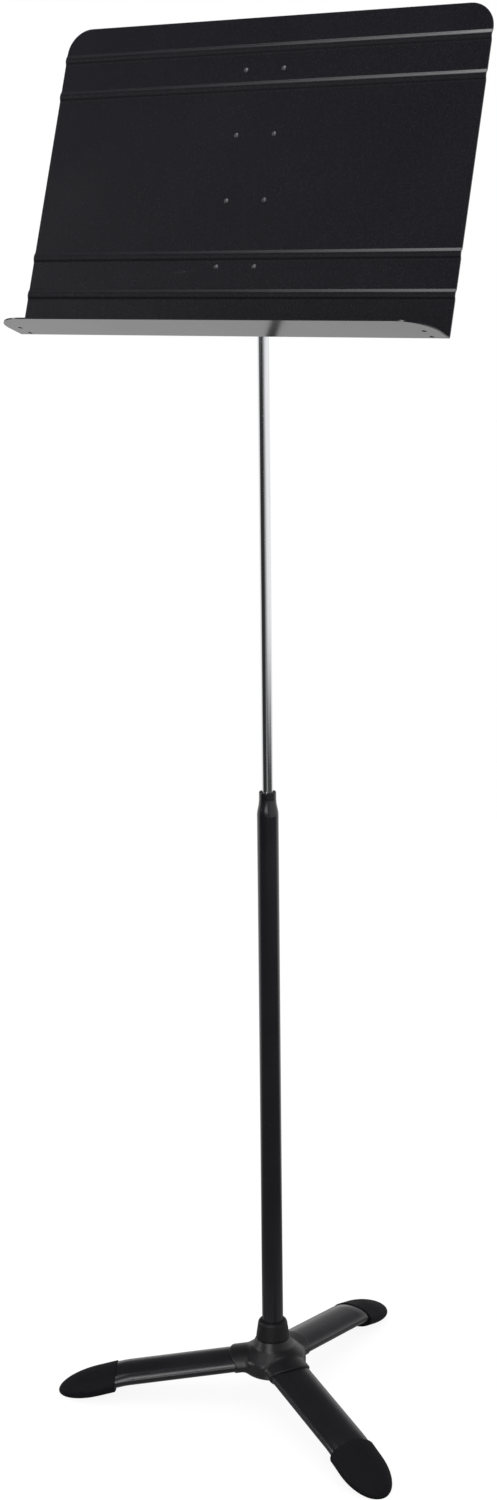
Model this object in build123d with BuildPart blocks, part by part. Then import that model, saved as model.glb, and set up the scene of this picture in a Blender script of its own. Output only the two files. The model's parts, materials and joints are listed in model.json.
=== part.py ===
from build123d import *

import os
from math import cos, radians, sin, sqrt, tan

# A music stand: a folded sheet desk with a ledge, which tilts on a friction pivot, a bright shaft
# that slides and turns in a black tube, held by a friction clutch, and a hub with three oval legs.
# Millimetres and degrees. +Z is up and the desk faces -Y. The origin is on the floor, at the middle
# of the stand's outline seen from above. The model is stored at full height, as it stands in use.

# Fits and gaps
running_fit = 0.05  # radial room where one piece turns or slides in another
close_fit = 0.02  # radial room where one piece is fixed in another
face_gap = 0.1  # room between end faces that turn past each other
soft_edge = 0.7  # rounding of rims that are seen

# Desk: one folded sheet, heights measured up its slope from the ledge
desk_width = 508.0
desk_height = 346.7
desk_tilt = 18.5  # leaning back from upright
desk_corner = 28.0  # radius of the desk's top corners
ledge_corner = 34.0  # radius of the ledge's front corners
sheet = 1.5
ledge_depth = 59.0
ledge_height = 1214.3  # the ledge's fold above the floor
fold_radius = 1.5  # inside the fold

# Stiffening beads, pressed towards the player, in two pairs
bead_low = 45.0  # lowest bead above the ledge
bead_high = 34.8  # highest bead below the top edge
bead_gap = 41.7  # between the two beads of a pair
bead_half = 6.5
bead_rise = 1.7
bead_crown = 9.0  # radius over a bead's crest

# Holes for clip-on accessories near each end of the ledge
ledge_hole_radius = 2.6
ledge_hole_inset = 15.5  # from the side edge
ledge_hole_first = 7.0  # from the desk's face
ledge_hole_pitch = 19.0

# Tilt bracket and its rivets
pivot_rise = 181.7  # pivot above the ledge, up the slope
pivot_setback = 26.0  # pivot behind the desk's face
rivet_rows = 4
rivet_column = 214.2  # from the first rivet to the last
rivet_spread = 45.2
rivet_radius = 1.6
rivet_head_radius = 2.7
rivet_head_rise = 1.1
rivet_tail_radius = 2.9
rivet_tail_rise = 1.6
rivet_tail_tip = 2.3
plate = 2.0
bracket_margin = 18.0  # plate beyond the end rivets
wing_margin = 10.5  # plate beside a column of rivets
bracket_corner = 8.0
ear_gap = 26.0
ear_half = 17.0
ear_relief = 2.0  # slot beside the foot of an ear

# Friction pivot
bolt_radius = 4.0
bolt_head_across = 13.0
bolt_head_rise = 5.3
bolt_end = 2.0  # thread past the nut
nut_rise = 8.0
nut_collar_radius = 5.6
nut_collar_rise = 2.0
disc = 1.5
disc_radius = 12.0
washer = 1.6
washer_radius = 8.0
spring_sheet = 0.9
spring_rise = 0.8  # how far the sprung washer is dished

# Tilt head on the shaft's top
barrel_radius = 13.0
head_radius = 10.0
head_drop = 44.0  # pivot to the head's lower rim
head_socket = 28.0
head_edge = 2.0
pin_radius = 2.0
pin_height = 14.0  # cross pin above the head's lower rim

# Shaft and clutch
shaft_radius = 6.35
shaft_end = 1.0  # chamfer at its top
spigot_radius = 4.0
clutch_length = 36.0
clutch_foot = 12.0  # solid end of the sleeve, above its fingers
clutch_slots = 3
clutch_slot = 2.0
finger = 2.7
clutch_ring = 1.8
clutch_ring_length = 20.0
clutch_below_bush = 8.0
thrust_radius = 8.0
clutch_screw_radius = 2.5
clutch_screw_length = 12.0
clutch_screw_head_radius = 4.6
clutch_screw_head_rise = 2.8
clutch_key_across = 3.0
clutch_key_depth = 2.0

# Outer tube, drawn in at its top over a guide bush
tube_radius = 12.0
tube_wall = 1.2
tube_top = 715.0
neck_length = 27.0
neck_taper = 18.0
neck_radius = 9.55
rim_lip = 1.2  # how far the rim is turned in
bush_length = 42.0
bush_drop = 1.4  # bush below the rim

# Base: heights are measured from the legs' level, where their axes would meet on the pole
seat_drop = 3.6  # tube's lower end below the legs' level
seat_web = 5.0
plug_length = 28.0
centre_bolt_radius = 5.0
centre_bolt_length = 30.0
centre_head_across = 17.0
centre_head_rise = 6.4
centre_washer = 1.6
centre_washer_radius = 10.5
bolt_recess_radius = 13.0

# Collar round the foot of the tube
collar_radius = 18.9
collar_top_radius = 16.2
collar_height = 21.5
collar_band = 3.0  # straight part at its foot
collar_edge = 4.0

# Hub
hub_radius = 37.8
hub_drop = 16.2
hub_shoulder_rise = 2.0
hub_waist_radius = 23.5
hub_waist_rise = 13.5
hub_flat_radius = 19.0
hub_rise = 22.0
hub_bottom_edge = 9.0
hub_shoulder_edge = 8.0
hub_waist_edge = 8.0
hub_blend = 12.0
socket_top = 2.6  # walls of a socket round its leg
socket_side = 2.0
socket_bottom = 1.2
socket_end = 48.8  # the sockets' rims lie on a cone about the pole, this wide at the legs' level
socket_lean = 11.0  # how far the cone opens upwards

# Legs: oval tubes from the hub, bent a little near their ends, measured out from the pole
leg_half_width = 24.0
leg_half_height = 10.5
leg_wall = 1.5
leg_slope = 8.4
leg_root = 22.5
leg_straight = 164.0
leg_bend = 110.0
leg_tail_slope = 15.0
rear_turn = 86.8  # the rear leg's direction, where 90 is straight behind
leg_angle = 120.0  # from one leg to the next
leg_screw_radius = 2.5
leg_screw_length = 12.0
leg_screw_head_radius = 4.4
leg_screw_head_rise = 2.4
leg_screw_at = 35.0
leg_screw_floor = 1.6  # hub left under the screw's head

# Foot caps: a sleeve on the leg's tail, then a rounded toe, cut level on the floor
cap_start = 5.5  # cap's open end past the bend, on the leg's axis; its rim is upright
cap_depth = 19.5  # how far the leg goes in
cap_sleeve = 21.0
toe_length = 48.5
toe_height = 2.0  # tip of the toe above the floor
cap_top = 1.3  # walls of the cap round its leg
cap_side = 3.0
cap_bottom = 4.3
cap_edge = 1.2

# Directions that the desk's tilt gives
tilt_cos = cos(radians(desk_tilt))
tilt_sin = sin(radians(desk_tilt))
face_out = Vector(0, -tilt_cos, tilt_sin)
slope_up = Vector(0, tilt_sin, tilt_cos)
across = Vector(1, 0, 0)

# The legs' line in a leg's own upright plane, worked out from the toe back up to the pole
leg_fall = radians(leg_slope)
tail_fall = radians(leg_tail_slope)
cap_half_width = leg_half_width + cap_side
cap_half_height = leg_half_height + (cap_top + cap_bottom) / 2
cap_shift = (cap_bottom - cap_top) / 2  # cap's axis below the leg's
rim_back = 2 * cap_half_height * tan(tail_fall)  # clears the upright rim's nearest point
tail_length = cap_start + cap_sleeve + toe_length
tail_height = toe_height + cap_shift * cos(tail_fall) + tail_length * sin(tail_fall)
bend_height = tail_height + leg_bend * (cos(leg_fall) - cos(tail_fall))
slope_tan = tan(leg_fall)
leg_level = bend_height + leg_straight * slope_tan
bend_centre = (
    leg_straight - leg_bend * sin(leg_fall),
    bend_height - leg_bend * cos(leg_fall),
)
tail_start = (bend_centre[0] + leg_bend * sin(tail_fall), tail_height)
tail_out = Vector(cos(tail_fall), 0, -sin(tail_fall))
tail_up = Vector(sin(tail_fall), 0, cos(tail_fall))
sideways = Vector(0, 1, 0)


def leg_cut(distance):
    """The plane square to a leg's straight axis at a distance from the pole, for a leg along +X."""
    centre = (distance, 0, leg_level - distance * slope_tan)
    return Plane(centre, x_dir=sideways, z_dir=(cos(leg_fall), 0, -sin(leg_fall)))


def tail_cut(distance):
    """The plane square to the leg's tail, a distance past its bend, for a leg along +X."""
    centre = Vector(tail_start[0], 0, tail_start[1]) + tail_out * distance
    return Plane(centre, x_dir=sideways, z_dir=tail_out)


# One leg along +X from the pole: an oval tube with a screw hole from below in its root
leg_end = cap_start + cap_depth
leg_end_point = (tail_start[0] + leg_end * tail_out.X, tail_start[1] + leg_end * tail_out.Z)
screw_plane = Plane(
    leg_cut(leg_screw_at).origin, x_dir=sideways, z_dir=(-sin(leg_fall), 0, -cos(leg_fall))
)
with BuildPart() as leg:
    with BuildLine(Plane.XZ) as leg_path:
        Line((leg_root, leg_level - leg_root * slope_tan), (leg_straight, bend_height))
        CenterArc(bend_centre, leg_bend, 90 - leg_slope, leg_slope - leg_tail_slope)
        Line(tail_start, leg_end_point)
    with BuildSketch(leg_cut(leg_root)):
        Ellipse(leg_half_width, leg_half_height)
        Ellipse(leg_half_width - leg_wall, leg_half_height - leg_wall, mode=Mode.SUBTRACT)
    sweep(path=leg_path.line)
    with BuildSketch(screw_plane):
        Circle(leg_screw_radius + close_fit)
    extrude(amount=2 * leg_half_height, mode=Mode.SUBTRACT)

# One foot cap: a round bullet along +X, flattened to the leg's oval, laid along the leg's tail
with BuildPart() as bullet:
    with BuildSketch(Plane.XZ):
        with BuildLine():
            Polyline(
                (cap_sleeve + toe_length, 0),
                (-rim_back, 0),
                (-rim_back, cap_half_width),
                (cap_sleeve, cap_half_width),
            )
            EllipticalCenterArc((cap_sleeve, 0), toe_length, cap_half_width, 0, arc_size=90)
        make_face()
    revolve(axis=Axis.X)
    scale(by=(1, 1, cap_half_height / cap_half_width))

bullet_plane = Plane(
    tail_cut(cap_start).origin - tail_up * cap_shift, x_dir=tail_out, z_dir=tail_up
)
with BuildPart() as foot:
    with Locations(bullet_plane):
        add(bullet.part)
    split(bisect_by=Plane.XY)
    split(bisect_by=Plane(bullet_plane.origin, z_dir=(1, 0, 0)))
    fillet(foot.faces().filter_by(Plane.XY).sort_by(Axis.Z)[0].edges(), cap_edge)
    fillet(foot.faces().filter_by(Plane.YZ).edges(), soft_edge)
    with BuildSketch(tail_cut(cap_start - rim_back)):
        Ellipse(leg_half_width + close_fit, leg_half_height + close_fit)
    extrude(amount=rim_back + cap_depth, mode=Mode.SUBTRACT)

# The pole stands so that the outline's middle is at the origin
left_turn = rear_turn + leg_angle
right_turn = rear_turn - leg_angle
ledge_reach = (ledge_depth + pivot_setback) * tilt_cos + pivot_rise * tilt_sin
left_reach = -foot.part.rotate(Axis.Z, left_turn).bounding_box().min.Y
right_reach = -foot.part.rotate(Axis.Z, right_turn).bounding_box().min.Y
rear_reach = foot.part.rotate(Axis.Z, rear_turn).bounding_box().max.Y
pole_y = (max(ledge_reach, left_reach, right_reach) - rear_reach) / 2
tube_seat = leg_level - seat_drop
hub_bottom = leg_level - hub_drop
hub_top = leg_level + hub_rise
pivot_height = ledge_height + pivot_rise * tilt_cos - pivot_setback * tilt_sin
pivot = Vector(0, pole_y, pivot_height)
fold = pivot + face_out * pivot_setback - slope_up * pivot_rise

# Working planes of the desk: its face, its cross-section and its ledge
desk_face = Plane(origin=fold, x_dir=across, z_dir=face_out)
desk_back = desk_face.offset(-sheet)
desk_section = Plane(origin=fold, x_dir=face_out, z_dir=-across)
ledge_plane = Plane(origin=fold, x_dir=across, z_dir=-slope_up)
rivet_centre = (0, pivot_rise)
bead_rows = (
    bead_low,
    bead_low + bead_gap,
    desk_height - bead_high - bead_gap,
    desk_height - bead_high,
)
bead_span = (bead_half**2 + bead_rise**2) / (2 * bead_rise)  # crest's and foot's radii together


def pole(height=0.0):
    """A level plane on the pole's axis."""
    return Plane((0, pole_y, height))


def pole_section():
    """The upright plane through the pole, for turned pieces: distance from the pole, then height."""
    return Plane((0, pole_y, 0), x_dir=(1, 0, 0), z_dir=(0, -1, 0))


def pivot_plane(distance):
    """The plane square to the pivot's axis, so far to its right."""
    return Plane(pivot + across * distance, x_dir=(0, 1, 0), z_dir=(1, 0, 0))


def pivot_section(distance):
    """A level plane through the pivot's axis: distance from the axis, then distance to the left."""
    return Plane(pivot + across * distance, x_dir=(0, 1, 0), z_dir=(0, 0, 1))


def leg_place(azimuth):
    """Where a leg goes that was drawn along +X from the origin."""
    return Location((0, pole_y, 0), (0, 0, azimuth))


def bead_edge(row, side):
    """Three tangent arcs over a bead, on the sheet's face (side 0) or on its back (side = sheet)."""
    crown_n = bead_rise - bead_crown
    foot_n = bead_span - bead_crown
    reach = (bead_crown - side) / bead_span
    knee_n = crown_n + (foot_n - crown_n) * reach
    knee_s = bead_half * reach
    TangentArc((-side, row - bead_half), (knee_n, row - knee_s), tangent=(0, 1))
    ThreePointArc((knee_n, row - knee_s), (bead_rise - side, row), (knee_n, row + knee_s))
    TangentArc((-side, row + bead_half), (knee_n, row + knee_s), tangent=(0, -1))


def sheet_edge(side):
    """One face of the desk's section, from the fold to the top edge, over every bead."""
    low = sheet + fold_radius
    for row in bead_rows:
        Line((-side, low), (-side, row - bead_half))
        bead_edge(row, side)
        low = row + bead_half
    Line((-side, low), (-side, desk_height))


# Desk panel: the bent section drawn across, then trimmed to its rounded outlines
rivet_gap = rivet_column / (rivet_rows - 1)
fold_side = fold_radius * (1 - sqrt(0.5))
fold_back = fold_radius - (fold_radius + sheet) * sqrt(0.5)
with BuildPart() as desk_panel:
    with BuildSketch(desk_section):
        with BuildLine():
            sheet_edge(0)
            sheet_edge(sheet)
            Line((0, desk_height), (-sheet, desk_height))
            ThreePointArc(
                (0, sheet + fold_radius), (fold_side, sheet + fold_side), (fold_radius, sheet)
            )
            ThreePointArc(
                (-sheet, sheet + fold_radius), (fold_back, sheet + fold_back), (fold_radius, 0)
            )
            Line((fold_radius, sheet), (ledge_depth, sheet))
            Line((ledge_depth, sheet), (ledge_depth, 0))
            Line((ledge_depth, 0), (fold_radius, 0))
        make_face()
    extrude(amount=desk_width / 2, both=True)
    with BuildSketch(desk_face):
        outline = Rectangle(desk_width, 2 * desk_height)
        fillet(outline.vertices().group_by(Axis.Y)[-1], desk_corner)
    extrude(amount=2 * ledge_depth, both=True, mode=Mode.INTERSECT)
    with BuildSketch(ledge_plane):
        outline = Rectangle(desk_width, 2 * ledge_depth)
        fillet(outline.vertices().group_by(Axis.Y)[-1], ledge_corner)
    extrude(amount=2 * desk_height, both=True, mode=Mode.INTERSECT)
    with BuildSketch(desk_face):
        with Locations(rivet_centre):
            with GridLocations(rivet_spread, rivet_gap, 2, rivet_rows):
                Circle(rivet_radius + close_fit)
    extrude(amount=2 * sheet, both=True, mode=Mode.SUBTRACT)
    with BuildSketch(ledge_plane):
        with Locations((0, ledge_hole_first + ledge_hole_pitch / 2)):
            with GridLocations(desk_width - 2 * ledge_hole_inset, ledge_hole_pitch, 2, 2):
                Circle(ledge_hole_radius)
    extrude(amount=2 * sheet, both=True, mode=Mode.SUBTRACT)

# Tilt bracket: two ears folded up from a plate that is riveted to the desk's back
ear_foot = ear_half + ear_relief
bracket_length = rivet_column + 2 * bracket_margin
wing_reach = rivet_spread / 2 + wing_margin
ear_reach = pivot_setback + ear_half - sheet
ear_outer = ear_gap / 2 + plate
with BuildPart() as pivot_bracket:
    with BuildSketch(desk_back):
        with Locations(rivet_centre):
            RectangleRounded(2 * wing_reach, bracket_length, bracket_corner)
            with GridLocations(2 * wing_reach, 0, 2, 1):
                Rectangle(2 * (wing_reach - ear_outer), 2 * ear_foot, mode=Mode.SUBTRACT)
            with GridLocations(rivet_spread, rivet_gap, 2, rivet_rows):
                Circle(rivet_radius + close_fit, mode=Mode.SUBTRACT)
    extrude(amount=-plate)
    with BuildSketch(desk_back):
        with Locations(rivet_centre):
            with GridLocations(ear_gap + plate, 0, 2, 1):
                Rectangle(plate, 2 * ear_half)
    extrude(amount=-ear_reach)
    with BuildSketch(desk_section.offset(-desk_width / 2)):
        with Locations((-pivot_setback - ear_half, pivot_rise)):
            Rectangle(2 * ear_half, 2 * ear_half)
        with Locations((-pivot_setback, pivot_rise)):
            Circle(ear_half, mode=Mode.SUBTRACT)
    extrude(amount=desk_width, mode=Mode.SUBTRACT)
    with BuildSketch(pivot_plane(0)):
        Circle(bolt_radius + close_fit)
    extrude(amount=2 * ear_gap, both=True, mode=Mode.SUBTRACT)

# Rivets: one drawn upright, then set in the desk's two columns
grip = sheet + plate
with BuildPart() as rivet:
    with BuildSketch(Plane.XZ):
        with BuildLine():
            TangentArc((0, rivet_head_rise), (rivet_head_radius, 0), tangent=(1, 0))
            Polyline(
                (rivet_head_radius, 0),
                (rivet_radius, 0),
                (rivet_radius, -grip),
                (rivet_tail_radius, -grip),
                (rivet_tail_tip, -grip - rivet_tail_rise),
                (0, -grip - rivet_tail_rise),
                (0, rivet_head_rise),
            )
        make_face()
    revolve(axis=Axis.Z)

with BuildPart() as desk_rivets:
    with Locations(desk_face):
        with Locations((0, pivot_rise, 0)):
            with GridLocations(rivet_spread, rivet_gap, 2, rivet_rows):
                add(rivet.part)

# Friction pivot, from the bolt's head on the right to the nut on the left
head_face = ear_outer + washer
spring_face = head_face + spring_sheet + spring_rise
bolt_reach = spring_face + nut_rise + bolt_end
with BuildPart() as pivot_bolt:
    with BuildSketch(pivot_plane(head_face)):
        RegularPolygon(bolt_head_across / 2, 6, major_radius=False)
    extrude(amount=bolt_head_rise)
    chamfer(pivot_bolt.faces().sort_by(Axis.X)[-1].edges(), soft_edge)
    with BuildSketch(pivot_plane(head_face)):
        Circle(bolt_radius)
    extrude(amount=-head_face - bolt_reach)
    chamfer(pivot_bolt.faces().sort_by(Axis.X)[0].edges(), bolt_end / 2)

with BuildPart() as pivot_washers:
    with BuildSketch(pivot_plane(ear_outer), pivot_plane(-head_face)):
        Circle(washer_radius)
        Circle(bolt_radius + close_fit, mode=Mode.SUBTRACT)
    extrude(amount=washer)

with BuildPart() as friction_discs:
    with BuildSketch(pivot_plane(ear_gap / 2 - disc), pivot_plane(-ear_gap / 2)):
        Circle(disc_radius)
        Circle(bolt_radius + close_fit, mode=Mode.SUBTRACT)
    extrude(amount=disc)

with BuildPart() as spring_washer:
    with BuildSketch(pivot_section(-head_face)):
        with BuildLine():
            Polyline(
                (washer_radius, 0),
                (washer_radius, spring_sheet),
                (bolt_radius + close_fit, spring_sheet + spring_rise),
                (bolt_radius + close_fit, spring_rise),
                close=True,
            )
        make_face()
    revolve(axis=Axis(pivot, across))

with BuildPart() as lock_nut:
    with BuildSketch(pivot_plane(-spring_face)):
        RegularPolygon(bolt_head_across / 2, 6, major_radius=False)
    extrude(amount=nut_collar_rise - nut_rise)
    with BuildSketch(pivot_plane(-spring_face)):
        Circle(nut_collar_radius)
    extrude(amount=-nut_rise)
    with BuildSketch(pivot_plane(-spring_face)):
        Circle(bolt_radius + close_fit)
    extrude(amount=-nut_rise, mode=Mode.SUBTRACT)

# Tilt head: a barrel between the ears, with a socket for the shaft below it
head_half = ear_gap / 2 - disc - face_gap
head_base = pivot_height - head_drop
shaft_top = head_base + head_socket
pin_level = head_base + pin_height
with BuildPart() as tilt_head:
    with BuildSketch(pivot_plane(0)):
        Circle(barrel_radius)
    extrude(amount=head_half, both=True)
    fillet(tilt_head.edges(), soft_edge)
    with BuildSketch(pole(head_base)):
        Circle(head_radius)
    extrude(amount=head_drop)
    fillet(tilt_head.faces().sort_by(Axis.Z)[0].edges(), head_edge)
    with BuildSketch(pole(head_base)):
        Circle(shaft_radius + close_fit)
    extrude(amount=head_socket + face_gap, mode=Mode.SUBTRACT)
    with BuildSketch(pivot_plane(0)):
        Circle(bolt_radius + running_fit)
    extrude(amount=ear_gap, both=True, mode=Mode.SUBTRACT)
    with BuildSketch(pole_section().shift_origin((0, pole_y, pin_level))):
        Circle(pin_radius + close_fit)
    extrude(amount=2 * head_radius, both=True, mode=Mode.SUBTRACT)

with BuildPart() as head_pin:
    with BuildSketch(pole_section().shift_origin((0, pole_y, pin_level))):
        Circle(pin_radius)
    extrude(amount=head_radius, both=True)

# Shaft, and the clutch on the spigot at its lower end
tube_bore = tube_radius - tube_wall
bush_top = tube_top - bush_drop
bush_bottom = bush_top - bush_length
spigot_top = bush_bottom - clutch_below_bush
sleeve_top = spigot_top - face_gap
sleeve_bottom = sleeve_top - clutch_length
spigot_end = sleeve_bottom - face_gap
screw_seat = spigot_end - washer
with BuildPart() as shaft:
    with BuildSketch(pole(spigot_top)):
        Circle(shaft_radius)
    extrude(amount=shaft_top - spigot_top)
    chamfer(shaft.faces().sort_by(Axis.Z)[-1].edges(), shaft_end)
    with BuildSketch(pole(spigot_end)):
        Circle(spigot_radius)
    extrude(amount=spigot_top - spigot_end)
    with BuildSketch(pole(spigot_end)):
        Circle(clutch_screw_radius + close_fit)
    extrude(amount=clutch_screw_length, mode=Mode.SUBTRACT)
    with BuildSketch(pole_section().shift_origin((0, pole_y, pin_level))):
        Circle(pin_radius + close_fit)
    extrude(amount=2 * head_radius, both=True, mode=Mode.SUBTRACT)

sleeve_radius = tube_bore - running_fit
finger_top = sleeve_top - clutch_foot
with BuildPart() as clutch_sleeve:
    with BuildSketch(pole(sleeve_bottom)):
        Circle(sleeve_radius)
        Circle(spigot_radius + running_fit, mode=Mode.SUBTRACT)
    extrude(amount=clutch_length)
    with BuildSketch(pole(sleeve_bottom)):
        Circle(sleeve_radius - finger)
    extrude(amount=finger_top - sleeve_bottom, mode=Mode.SUBTRACT)
    with BuildSketch(pole(sleeve_bottom)):
        with PolarLocations(sleeve_radius, clutch_slots):
            Rectangle(2 * sleeve_radius, clutch_slot)
    extrude(amount=finger_top - sleeve_bottom, mode=Mode.SUBTRACT)

ring_radius = sleeve_radius - finger - close_fit
with BuildPart() as clutch_spring:
    with BuildSketch(pole(finger_top - face_gap)):
        Circle(ring_radius)
        Circle(ring_radius - clutch_ring, mode=Mode.SUBTRACT)
        with Locations((ring_radius, 0)):
            Rectangle(2 * ring_radius, clutch_slot, mode=Mode.SUBTRACT)
    extrude(amount=-clutch_ring_length)

with BuildPart() as clutch_washer:
    with BuildSketch(pole(screw_seat)):
        Circle(thrust_radius)
        Circle(clutch_screw_radius + close_fit, mode=Mode.SUBTRACT)
    extrude(amount=washer)

with BuildPart() as clutch_screw:
    with BuildSketch(pole(screw_seat)):
        Circle(clutch_screw_head_radius)
    extrude(amount=-clutch_screw_head_rise)
    with BuildSketch(pole(screw_seat)):
        Circle(clutch_screw_radius)
    extrude(amount=clutch_screw_length)
    with BuildSketch(pole(screw_seat - clutch_screw_head_rise)):
        RegularPolygon(clutch_key_across / 2, 6, major_radius=False)
    extrude(amount=clutch_key_depth, mode=Mode.SUBTRACT)

# Outer tube with its drawn-in neck, and the bush that the neck holds
neck_start = tube_top - neck_length
neck_end = neck_start + neck_taper
neck_bore = neck_radius - tube_wall
upward = [(0, 1), (0, 1)]
pole_axis = Axis((0, pole_y, 0), (0, 0, 1))
with BuildPart() as outer_tube:
    with BuildSketch(pole_section()):
        with BuildLine():
            Line((tube_radius, tube_seat), (tube_radius, neck_start))
            Spline((tube_radius, neck_start), (neck_radius, neck_end), tangents=upward)
            Line((neck_radius, neck_end), (neck_radius, tube_top - tube_wall))
            TangentArc(
                (neck_radius, tube_top - tube_wall), (neck_bore, tube_top), tangent=(0, 1)
            )
            Polyline(
                (neck_bore, tube_top),
                (neck_bore - rim_lip, tube_top),
                (neck_bore - rim_lip, tube_top - tube_wall),
                (neck_bore, tube_top - tube_wall),
                (neck_bore, neck_end),
            )
            Spline((neck_bore, neck_end), (tube_bore, neck_start), tangents=[(0, -1), (0, -1)])
            Polyline((tube_bore, neck_start), (tube_bore, tube_seat), (tube_radius, tube_seat))
        make_face()
    revolve(axis=pole_axis)

with BuildPart() as guide_bush:
    with BuildSketch(pole_section()):
        with BuildLine():
            Line((tube_bore - close_fit, bush_bottom), (tube_bore - close_fit, neck_start))
            Spline(
                (tube_bore - close_fit, neck_start),
                (neck_bore - close_fit, neck_end),
                tangents=upward,
            )
            Polyline(
                (neck_bore - close_fit, neck_end),
                (neck_bore - close_fit, bush_top),
                (shaft_radius + running_fit, bush_top),
                (shaft_radius + running_fit, bush_bottom),
                (tube_bore - close_fit, bush_bottom),
            )
        make_face()
    revolve(axis=pole_axis)

# What fastens the tube to the hub from below
web_bottom = tube_seat - seat_web
head_seat = web_bottom - centre_washer
with BuildPart() as tube_plug:
    with BuildSketch(pole(tube_seat)):
        Circle(tube_bore - close_fit)
        Circle(centre_bolt_radius + close_fit, mode=Mode.SUBTRACT)
    extrude(amount=plug_length)

with BuildPart() as centre_washer_ring:
    with BuildSketch(pole(head_seat)):
        Circle(centre_washer_radius)
        Circle(centre_bolt_radius + close_fit, mode=Mode.SUBTRACT)
    extrude(amount=centre_washer)

with BuildPart() as centre_bolt:
    with BuildSketch(pole(head_seat)):
        RegularPolygon(centre_head_across / 2, 6, major_radius=False)
    extrude(amount=-centre_head_rise)
    with BuildSketch(pole(head_seat)):
        Circle(centre_bolt_radius)
    extrude(amount=centre_bolt_length)

# Collar round the foot of the tube
collar_top = hub_top + collar_height
with BuildPart() as collar:
    with BuildSketch(pole_section()):
        with BuildLine():
            Polyline(
                (tube_radius + close_fit, hub_top),
                (collar_radius, hub_top),
                (collar_radius, hub_top + collar_band),
                (collar_top_radius, collar_top),
                (tube_radius + close_fit, collar_top),
                close=True,
            )
        make_face()
    revolve(axis=pole_axis)
    fillet(collar.faces().sort_by(Axis.Z)[-1].edges().sort_by(SortBy.RADIUS)[-1], collar_edge)
    fillet(collar.faces().sort_by(Axis.Z)[0].edges().sort_by(SortBy.RADIUS)[-1], soft_edge)

# One socket of the hub, with the room for its leg and for the screw from below
with BuildPart() as socket:
    with BuildSketch(leg_cut(leg_root)):
        with Locations((0, (socket_top - socket_bottom) / 2)):
            Ellipse(leg_half_width + socket_side, leg_half_height + (socket_top + socket_bottom) / 2)
    extrude(amount=socket_end)

with BuildPart() as leg_room:
    with BuildSketch(leg_cut(leg_root)):
        Ellipse(leg_half_width + close_fit, leg_half_height + close_fit)
    extrude(amount=2 * socket_end)
    with BuildSketch(screw_plane):
        Circle(leg_screw_radius + close_fit)
    extrude(amount=2 * leg_half_height)
    with BuildSketch(screw_plane.offset(leg_half_height + leg_screw_floor)):
        Circle(leg_screw_head_radius + face_gap)
    extrude(amount=leg_half_height)

with BuildPart() as leg_screw:
    with BuildSketch(screw_plane.offset(leg_half_height + leg_screw_floor)):
        Circle(leg_screw_head_radius)
    extrude(amount=leg_screw_head_rise)
    with BuildSketch(screw_plane.offset(leg_half_height + leg_screw_floor)):
        Circle(leg_screw_radius)
    extrude(amount=-leg_screw_length)

# Hub: a turned body with three sockets, blended together
left_place = leg_place(left_turn)
right_place = leg_place(right_turn)
rear_place = leg_place(rear_turn)
leg_places = (left_place, right_place, rear_place)
bottom_corner = (hub_radius, hub_bottom)
shoulder_corner = (hub_radius, leg_level + hub_shoulder_rise)
waist_corner = (hub_waist_radius, leg_level + hub_waist_rise)
with BuildPart() as hub:
    with BuildSketch(pole_section()) as hub_side:
        with BuildLine():
            Polyline(
                (0, hub_bottom),
                bottom_corner,
                shoulder_corner,
                waist_corner,
                (hub_flat_radius, hub_top),
                (0, hub_top),
                close=True,
            )
        make_face()
        fillet(hub_side.vertices().sort_by_distance(waist_corner)[0], hub_waist_edge)
        fillet(hub_side.vertices().sort_by_distance(shoulder_corner)[0], hub_shoulder_edge)
        fillet(hub_side.vertices().sort_by_distance(bottom_corner)[0], hub_bottom_edge)
    revolve(axis=pole_axis)
    with Locations(*leg_places):
        add(socket.part)
    fillet(hub.edges(Select.LAST).filter_by(GeomType.BSPLINE).sort_by(Axis.X), hub_blend)
    with BuildSketch(pole()):
        Circle(socket_end - leg_level * tan(radians(socket_lean)))
    extrude(amount=hub_top, taper=-socket_lean, mode=Mode.INTERSECT)
    fillet(hub.edges(Select.LAST).sort_by(Axis.X), soft_edge)
    with Locations(*leg_places):
        add(leg_room.part, mode=Mode.SUBTRACT)
    with BuildSketch(pole(tube_seat)):
        Circle(tube_radius + close_fit)
    extrude(amount=hub_top - tube_seat, mode=Mode.SUBTRACT)
    with BuildSketch(pole(web_bottom)):
        Circle(centre_bolt_radius + close_fit)
    extrude(amount=seat_web, mode=Mode.SUBTRACT)
    with BuildSketch(pole(web_bottom)):
        Circle(bolt_recess_radius)
    extrude(amount=-web_bottom, mode=Mode.SUBTRACT)

with BuildPart() as leg_left:
    with Locations(left_place):
        add(leg.part)
with BuildPart() as leg_right:
    with Locations(right_place):
        add(leg.part)
with BuildPart() as leg_rear:
    with Locations(rear_place):
        add(leg.part)
with BuildPart() as foot_left:
    with Locations(left_place):
        add(foot.part)
with BuildPart() as foot_right:
    with Locations(right_place):
        add(foot.part)
with BuildPart() as foot_rear:
    with Locations(rear_place):
        add(foot.part)
with BuildPart() as leg_screws:
    with Locations(*leg_places):
        add(leg_screw.part)

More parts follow.
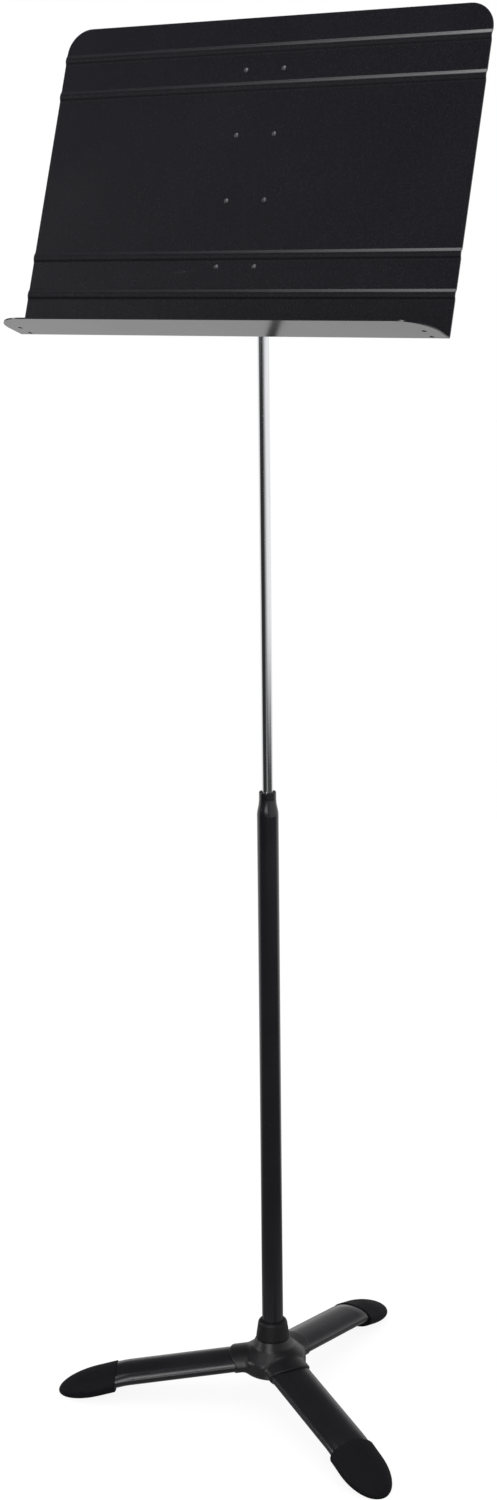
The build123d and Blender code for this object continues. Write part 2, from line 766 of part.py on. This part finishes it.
# Write every piece to its own file
pieces = {
    "desk_panel": desk_panel,
    "desk_rivets": desk_rivets,
    "pivot_bracket": pivot_bracket,
    "pivot_bolt": pivot_bolt,
    "pivot_washers": pivot_washers,
    "friction_discs": friction_discs,
    "spring_washer": spring_washer,
    "lock_nut": lock_nut,
    "tilt_head": tilt_head,
    "head_pin": head_pin,
    "shaft": shaft,
    "clutch_sleeve": clutch_sleeve,
    "clutch_spring": clutch_spring,
    "clutch_washer": clutch_washer,
    "clutch_screw": clutch_screw,
    "outer_tube": outer_tube,
    "guide_bush": guide_bush,
    "tube_plug": tube_plug,
    "centre_bolt": centre_bolt,
    "centre_washer": centre_washer_ring,
    "collar": collar,
    "hub": hub,
    "leg_left": leg_left,
    "leg_right": leg_right,
    "leg_rear": leg_rear,
    "leg_screws": leg_screws,
    "foot_left": foot_left,
    "foot_right": foot_right,
    "foot_rear": foot_rear,
}
os.makedirs("parts", exist_ok=True)
for name, piece in pieces.items():
    piece.part.label = name
    export_step(piece.part, f"parts/{name}.step")
lowest = screw_seat - clutch_screw_head_rise
print(f"pivot at y {pole_y:.3f} z {pivot_height:.3f}, slide room {lowest - tube_seat - plug_length:.1f}")
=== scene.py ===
import json
import math

import bpy
import numpy as np
from mathutils import Euler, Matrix

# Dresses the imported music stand: a finish for every piece, the photograph's camera and a white studio
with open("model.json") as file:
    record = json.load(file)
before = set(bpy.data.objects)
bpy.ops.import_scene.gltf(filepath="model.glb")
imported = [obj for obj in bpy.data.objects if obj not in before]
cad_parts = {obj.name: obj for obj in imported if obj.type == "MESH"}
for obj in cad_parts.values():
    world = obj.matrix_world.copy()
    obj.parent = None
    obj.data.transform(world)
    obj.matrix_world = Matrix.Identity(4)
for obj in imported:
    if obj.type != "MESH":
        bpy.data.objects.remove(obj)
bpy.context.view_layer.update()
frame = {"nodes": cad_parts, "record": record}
scene = bpy.context.scene
scene.view_settings.view_transform = "Standard"
MM = 0.001  # one millimetre in the scene's metres
NOISE_LOW, NOISE_HIGH = 0.3, 0.7  # most of a noise texture's values lie between these


def linear(hex_colour):
    """A written sRGB colour such as "1e1d20" as linear red, green, blue and alpha."""
    srgb = np.array([int(hex_colour[i:i + 2], 16) for i in (0, 2, 4)]) / 255
    rgb = np.where(srgb <= 0.04045, srgb / 12.92, ((srgb + 0.055) / 1.055) ** 2.4)
    return (*rgb.tolist(), 1.0)


def put(tree, kind, values=None, links=None, **settings):
    """Adds one node to a tree: its settings, then fixed values and links by input name or number."""
    node = tree.nodes.new(kind)
    for name, value in settings.items():
        setattr(node, name, value)
    for name, value in (values or {}).items():
        node.inputs[name].default_value = value
    for name, socket in (links or {}).items():
        tree.links.new(socket, node.inputs[name])
    return node


def finish(name, shader, textures, roughness, colours, relief=None, stops=(NOISE_LOW, NOISE_HIGH)):
    """A new material with one shader, whose fixed inputs are given.

    Each texture is a noise by its name: the size of its lumps in millimetres, as one number or three,
    and its detail. The roughness names its texture, the smoothest and the roughest. The colours name
    theirs and two written colours, reached at the stops. The relief names its texture, its strength
    and its depth in millimetres.
    """
    material = bpy.data.materials.new(name)
    material.use_nodes = True
    tree = material.node_tree
    tree.nodes.clear()
    place = put(tree, "ShaderNodeTexCoord").outputs["Object"]
    noise = {}
    for texture, (lump, detail) in textures.items():
        per_metre = [1 / (side * MM) for side in np.broadcast_to(lump, 3).tolist()]
        spread = put(tree, "ShaderNodeMapping", {"Scale": per_metre}, {"Vector": place})
        noise[texture] = put(
            tree, "ShaderNodeTexNoise", {"Scale": 1.0, "Detail": detail},
            {"Vector": spread.outputs["Vector"]},
        ).outputs["Fac"]
    rough_by, smoothest, roughest = roughness
    shade = put(
        tree, "ShaderNodeMapRange",
        {"From Min": NOISE_LOW, "From Max": NOISE_HIGH, "To Min": smoothest, "To Max": roughest},
        {"Value": noise[rough_by]},
    )
    tint_by, *ends = colours
    tint = put(tree, "ShaderNodeValToRGB", links={"Fac": noise[tint_by]})
    for element, stop, colour in zip(tint.color_ramp.elements, stops, ends):
        element.position = stop
        element.color = linear(colour)
    inputs = {"Roughness": shade.outputs["Result"], "Base Color": tint.outputs["Color"]}
    if relief:
        raised_by, strength, depth = relief
        bump = put(
            tree, "ShaderNodeBump", {"Strength": strength, "Distance": depth * MM},
            {"Height": noise[raised_by]},
        )
        inputs["Normal"] = bump.outputs["Normal"]
    surface = put(tree, "ShaderNodeBsdfPrincipled", shader, inputs)
    put(tree, "ShaderNodeOutputMaterial", links={"Surface": surface.outputs["BSDF"]})
    return material


finishes = {}

# Satin black powder coat on the desk's aluminium sheet. It was sprayed as powder and baked, so it
# flows into a faint orange peel, and where hands and paper rub it is a little smoother.
finishes["desk_coat"] = finish(
    "powder_coat_satin_black", {"IOR": 1.5}, {"peel": (3.0, 2.0), "rub": (90.0, 4.0)},
    roughness=("rub", 0.15, 0.2), colours=("peel", "1b1b20", "202026"), relief=("peel", 0.025, 0.05),
)

# Semi-gloss black powder coat on the steel tube, legs, bracket and tilt head: a little duller than on
# the smooth sheet of the desk, and rubbed unevenly by hands.
finishes["steel_coat"] = finish(
    "powder_coat_semi_gloss_black", {"IOR": 1.5}, {"peel": (4.0, 2.0), "rub": (60.0, 4.0)},
    roughness=("rub", 0.2, 0.27), colours=("rub", "19191d", "1e1e23"), relief=("peel", 0.1, 0.05),
)

# The same coat on the sand-cast hub: the casting's grain shows through it.
finishes["hub_coat"] = finish(
    "powder_coat_on_casting", {"IOR": 1.5}, {"grain": (2.2, 4.0)},
    roughness=("grain", 0.34, 0.42), colours=("grain", "151518", "1b1b1e"),
    relief=("grain", 0.08, 0.15),
)

# Moulded black rubber of the foot caps: matt, with the fine spark grain of its mould and some dust.
finishes["foot_rubber"] = finish(
    "rubber_moulded_black", {"IOR": 1.5, "Specular IOR Level": 0.15},
    {"grain": (1.4, 3.0), "dust": (25.0, 5.0)},
    roughness=("dust", 0.62, 0.78), colours=("dust", "141418", "19191d"), relief=("grain", 0.3, 0.1),
    stops=(0.35, 0.75),
)

# Moulded black plastic of the collar: a low sheen with a faint mould texture.
finishes["collar_plastic"] = finish(
    "polypropylene_moulded_black", {"IOR": 1.49, "Specular IOR Level": 0.3}, {"grain": (1.2, 3.0)},
    roughness=("grain", 0.42, 0.55), colours=("grain", "18181a", "1d1d1f"),
    relief=("grain", 0.15, 0.08),
)

# Polished chrome plate on the drawn shaft: mirror bright, with faint draw lines along it from
# sliding in its bush.
finishes["shaft_chrome"] = finish(
    "chrome_plate_polished", {"Metallic": 1.0}, {"lines": ((0.8, 0.8, 120.0), 3.0)},
    roughness=("lines", 0.05, 0.13), colours=("lines", "dcdde0", "f0f0f2"),
)

# Zinc plate on the steel fasteners: a cool grey with the cloudy spangle of the plating bath.
finishes["zinc_steel"] = finish(
    "zinc_plated_steel", {"Metallic": 1.0}, {"cloud": (1.6, 4.0)},
    roughness=("cloud", 0.28, 0.42), colours=("cloud", "b9bcc2", "d4d5d6"),
)

# Natural nylon of the bush, clutch and friction discs: milky and waxy, a little cloudy.
finishes["nylon"] = finish(
    "nylon_natural", {"IOR": 1.53}, {"cloud": (5.0, 3.0)},
    roughness=("cloud", 0.42, 0.55), colours=("cloud", "cfc9ba", "dcd7ca"),
)

# Rivets: aluminium, coated with the desk and rubbed down to dull metal on their domes.
finishes["rivet_aluminium"] = finish(
    "aluminium_rivet_rubbed", {"Metallic": 0.85}, {"rub": (1.1, 4.0)},
    roughness=("rub", 0.3, 0.45), colours=("rub", "4a4a4e", "6c6c70"),
)

for subpart in frame["record"]["subparts"]:
    mesh = frame["nodes"][subpart["node"]].data
    mesh.materials.clear()
    mesh.materials.append(finishes[subpart["material_slot"]])

# Camera: where the photograph was taken from, level with the desk's lower part and to its right
camera = bpy.data.objects.new("camera", bpy.data.cameras.new("camera"))
scene.collection.objects.link(camera)
scene.camera = camera
camera.location = (1.15848, -2.12297, 1.29883)
camera.rotation_euler = Euler([math.radians(a) for a in (80.345, 0.6245, 29.572)])
camera.data.lens = 53.166
camera.data.sensor_width = 36.0
camera.data.shift_y = -0.08

# Level directions in the picture, as the camera sees the stand
RIGHTWARDS = (0.8697, 0.4935, 0.0)
BACKWARDS = (-0.4935, 0.8697, 0.0)


def disc(name, radius, rings, spokes):
    """A flat disc on the floor: a point is radius times u, at the angle v, for u and v on a grid."""
    u, v = np.meshgrid(np.linspace(0, 1, rings + 1)[1:], np.arange(spokes) / spokes, indexing="ij")
    turn = 2 * math.pi * v
    ring = np.stack([radius * u * np.cos(turn), radius * u * np.sin(turn), 0 * u], -1)
    points = np.vstack([[[0, 0, 0]], ring.reshape(-1, 3)])
    i, j = np.meshgrid(np.arange(rings - 1), np.arange(spokes), indexing="ij")
    here, there = 1 + i * spokes + j, 1 + i * spokes + (j + 1) % spokes
    quads = np.stack([here, here + spokes, there + spokes, there], -1).reshape(-1, 4)
    k = np.arange(spokes)
    fan = np.stack([0 * k, 1 + k, 1 + (k + 1) % spokes], -1)
    mesh = bpy.data.meshes.new(name)
    mesh.from_pydata(points.tolist(), [], fan.tolist() + quads.tolist())
    piece = bpy.data.objects.new(name, mesh)
    scene.collection.objects.link(piece)
    return piece


# Floor: white paper that keeps the stand's shadow, lifted to white where the camera sees it. Shiny
# surfaces see the lit paper behind the stand, dimmer paper close round it, and its dark end in front.
PAPER_LIFT = 0.9  # glow that the camera sees
LIT_BACK = {"From Min": 0.1, "From Max": 0.6, "To Min": 0.0, "To Max": 0.84}  # by metres behind
LIT_NEAR = {"From Min": 0.2, "From Max": 0.5, "To Min": 0.2, "To Max": 0.0}  # by metres all round
floor = disc("studio_floor", radius=2.6, rings=6, spokes=96)
paper = bpy.data.materials.new("studio_paper")
paper.use_nodes = True
tree = paper.node_tree
tree.nodes.clear()
spot = put(tree, "ShaderNodeTexCoord").outputs["Object"]
behind = put(tree, "ShaderNodeVectorMath", {1: BACKWARDS}, {0: spot}, operation="DOT_PRODUCT")
lit_back = put(
    tree, "ShaderNodeMapRange", LIT_BACK, {"Value": behind.outputs["Value"]},
    interpolation_type="SMOOTHSTEP",
)
reach = put(tree, "ShaderNodeVectorMath", links={0: spot}, operation="LENGTH")
lit_near = put(
    tree, "ShaderNodeMapRange", LIT_NEAR, {"Value": reach.outputs["Value"]},
    interpolation_type="SMOOTHSTEP",
)
lit = put(
    tree, "ShaderNodeMath", links={0: lit_back.outputs["Result"], 1: lit_near.outputs["Result"]},
    operation="MAXIMUM",
)
light_path = put(tree, "ShaderNodeLightPath")
shown = put(
    tree, "ShaderNodeMath", links={0: lit.outputs["Value"], 1: light_path.outputs["Is Glossy Ray"]},
    operation="MULTIPLY",
)
lift = put(
    tree, "ShaderNodeMath", {1: PAPER_LIFT},
    {0: light_path.outputs["Is Camera Ray"], 2: shown.outputs["Value"]}, operation="MULTIPLY_ADD",
)
glow = put(
    tree, "ShaderNodeEmission", {"Color": linear("ffffff")}, {"Strength": lift.outputs["Value"]}
)
matt = put(tree, "ShaderNodeBsdfDiffuse", {"Color": linear("6e6e6e")})
both = put(
    tree, "ShaderNodeAddShader", links={0: glow.outputs["Emission"], 1: matt.outputs["BSDF"]}
)
put(tree, "ShaderNodeOutputMaterial", links={"Surface": both.outputs["Shader"]})
floor.data.materials.append(paper)

# World: even soft light, white where the camera sees it. Shiny surfaces see a dim room with bright
# areas in it: the sweep behind the stand, panels at the sides, and softboxes in front, above and left.
EVEN_LIGHT = 0.75
DIM_ROOM = 0.03
BACKDROP_WHITE = 1.0
world = bpy.data.worlds.new("studio_room")
scene.world = world
world.use_nodes = True
tree = world.node_tree
tree.nodes.clear()
look = put(tree, "ShaderNodeTexCoord").outputs["Generated"]
ways = put(tree, "ShaderNodeSeparateXYZ", links={"Vector": look}).outputs
across, along, rise = ways["X"], ways["Y"], ways["Z"]
to_right = put(
    tree, "ShaderNodeVectorMath", {1: RIGHTWARDS}, {0: look}, operation="DOT_PRODUCT"
).outputs["Value"]
to_back = put(
    tree, "ShaderNodeVectorMath", {1: BACKWARDS}, {0: look}, operation="DOT_PRODUCT"
).outputs["Value"]
# Each area is a product of soft edges: a direction, where its edge starts and ends, and the light's
# strength at either end
bright_areas = {
    "sweep": [(to_back, -0.15, 0.45, 0.0, 0.95), (rise, 0.0, 0.22, 1.0, 0.04)],
    "side_panel": [
        (to_right, -0.5, 0.9, 0.0, 0.95),
        (rise, -0.23, -0.16, 0.0, 1.0), (rise, 0.2, 0.5, 1.0, 0.1),
    ],
    "side_wall": [
        (to_right, -0.55, -0.85, 0.0, 0.21),
        (rise, -0.08, 0.03, 0.0, 1.0), (rise, 0.42, 0.66, 1.0, 0.12),
    ],
    "front_softbox": [
        (across, -0.12, 0.06, 0.0, 7.0), (across, 0.08, 0.18, 1.0, 0.0),
        (along, -0.1, -0.4, 0.0, 1.0),
        (rise, 0.0, 0.2, 0.0, 1.0), (rise, 0.85, 0.97, 1.0, 0.0),
    ],
    "front_low_softbox": [
        (across, 0.05, 0.2, 0.0, 3.0), (across, 0.4, 0.55, 1.0, 0.0),
        (along, -0.6, -0.8, 0.0, 1.0),
        (rise, 0.0, 0.06, 0.0, 1.0), (rise, 0.22, 0.36, 1.0, 0.0),
    ],
    "top_softbox": [
        (rise, 0.8, 0.88, 0.0, 0.8),
        (along, -0.22, -0.36, 0.0, 1.0),
        (across, -0.26, -0.16, 0.0, 1.0), (across, -0.06, 0.06, 1.0, 0.0),
    ],
    "desk_softbox": [
        (across, -0.485, -0.4, 0.15, 4.5), (across, -0.4, -0.37, 1.0, 0.0),
        (across, -0.66, -0.58, 0.0, 1.0),
        (rise, 0.7, 0.78, 0.0, 1.0),
        (along, -0.48, -0.36, 0.0, 1.0), (along, -0.05, 0.06, 1.0, 0.0),
    ],
    "left_softbox": [
        (across, -0.69, -0.78, 0.0, 8.0),
        (along, -0.33, -0.42, 0.0, 1.0),
        (rise, 0.22, 0.35, 0.0, 1.0), (rise, 0.55, 0.68, 1.0, 0.0),
    ],
    "near_paper": [
        (to_back, -0.5, -0.9, 0.0, 0.22),
        (to_right, -0.4, -0.15, 0.0, 1.0), (to_right, 0.05, 0.3, 1.0, 0.0),
        (rise, -0.19, -0.14, 1.0, 0.0),
    ],
}
room = None
for edges in bright_areas.values():
    area = None
    for way, start, end, low, high in edges:
        edge = put(
            tree, "ShaderNodeMapRange",
            {"From Min": start, "From Max": end, "To Min": low, "To Max": high},
            {"Value": way}, interpolation_type="SMOOTHSTEP",
        ).outputs["Result"]
        area = edge if area is None else put(
            tree, "ShaderNodeMath", links={0: area, 1: edge}, operation="MULTIPLY"
        ).outputs["Value"]
    room = area if room is None else put(
        tree, "ShaderNodeMath", links={0: room, 1: area}, operation="MAXIMUM"
    ).outputs["Value"]
room = put(tree, "ShaderNodeMath", {1: DIM_ROOM}, {0: room}, operation="ADD")
light_path = put(tree, "ShaderNodeLightPath")
shiny = put(
    tree, "ShaderNodeMix", {"A": EVEN_LIGHT},
    {"Factor": light_path.outputs["Is Glossy Ray"], "B": room.outputs["Value"]},
)
sky = put(
    tree, "ShaderNodeMix", {"B": BACKDROP_WHITE},
    {"Factor": light_path.outputs["Is Camera Ray"], "A": shiny.outputs["Result"]},
)
back = put(
    tree, "ShaderNodeBackground", {"Color": linear("ffffff")}, {"Strength": sky.outputs["Result"]}
)
put(tree, "ShaderNodeOutputWorld", links={"Surface": back.outputs["Background"]})

# One soft lamp straight above the stand gives it its pale shadow
lamp = bpy.data.lights.new("overhead_softbox", "AREA")
lamp.shape = "RECTANGLE"
lamp.size, lamp.size_y = 0.8, 1.2
lamp.energy = 12.0
overhead = bpy.data.objects.new("overhead_softbox", lamp)
scene.collection.objects.link(overhead)
overhead.location = (0.0, -0.1, 2.95)
overhead.visible_camera = False
